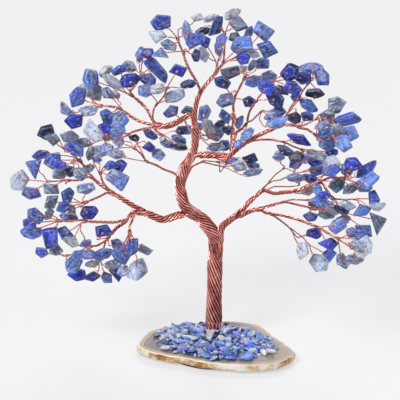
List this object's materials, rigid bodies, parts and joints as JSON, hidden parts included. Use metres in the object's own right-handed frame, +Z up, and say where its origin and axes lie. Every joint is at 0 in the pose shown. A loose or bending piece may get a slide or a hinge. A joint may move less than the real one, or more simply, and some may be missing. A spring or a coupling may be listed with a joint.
{
  "type": "gemstone tree ornament",
  "caption": "Small tree of twisted copper wire with drilled blue stone chips hung on its twigs, glued among stone fragments on a polished agate slice.",
  "frame": {"origin": "on the table, at the centre of the round pad under the stone slice", "axes": "+Z up along the trunk, the viewer of the front is on the -Y side, +X to the viewer's right"},
  "size_m": [0.1758, 0.1101, 0.1605],
  "materials": {
    "agate": "polished face, rough rind on the edge",
    "felt": "felt",
    "glue": "clear glossy glue",
    "ground_stone": "broken and tumbled fragments",
    "drilled_stone": "tumbled gloss",
    "copper_wire": "bare copper wire"
  },
  "bodies": {
    "root": {"agate_slice": "agate", "back_high_bough": "copper_wire", "back_high_branchlets": "copper_wire", "back_high_stones": "drilled_stone", "back_high_twigs": "copper_wire", "back_low_bough": "copper_wire", "back_low_branchlets": "copper_wire", "back_low_stones": "drilled_stone", "back_low_twigs": "copper_wire", "crown_left_bough": "copper_wire", "crown_left_branchlets": "copper_wire", "crown_left_stones": "drilled_stone", "crown_left_twigs": "copper_wire", "crown_right_bough": "copper_wire", "crown_right_branchlets": "copper_wire", "crown_right_stones": "drilled_stone", "crown_right_twigs": "copper_wire", "felt_pad": "felt", "glue_bed": "glue", "ground_stones": "ground_stone", "left_back_bough": "copper_wire", "left_back_branchlets": "copper_wire", "left_back_stones": "drilled_stone", "left_back_twigs": "copper_wire", "left_high_bough": "copper_wire", "left_high_branchlets": "copper_wire", "left_high_stones": "drilled_stone", "left_high_twigs": "copper_wire", "left_low_bough": "copper_wire", "left_low_branchlets": "copper_wire", "left_low_stones": "drilled_stone", "left_low_twigs": "copper_wire", "right_low_bough": "copper_wire", "right_low_branchlets": "copper_wire", "right_low_stones": "drilled_stone", "right_low_twigs": "copper_wire", "right_mid_bough": "copper_wire", "right_mid_branchlets": "copper_wire", "right_mid_stones": "drilled_stone", "right_mid_twigs": "copper_wire", "root_wires": "copper_wire", "stem": "copper_wire", "trunk": "copper_wire"}
  },
  "joints": []
}
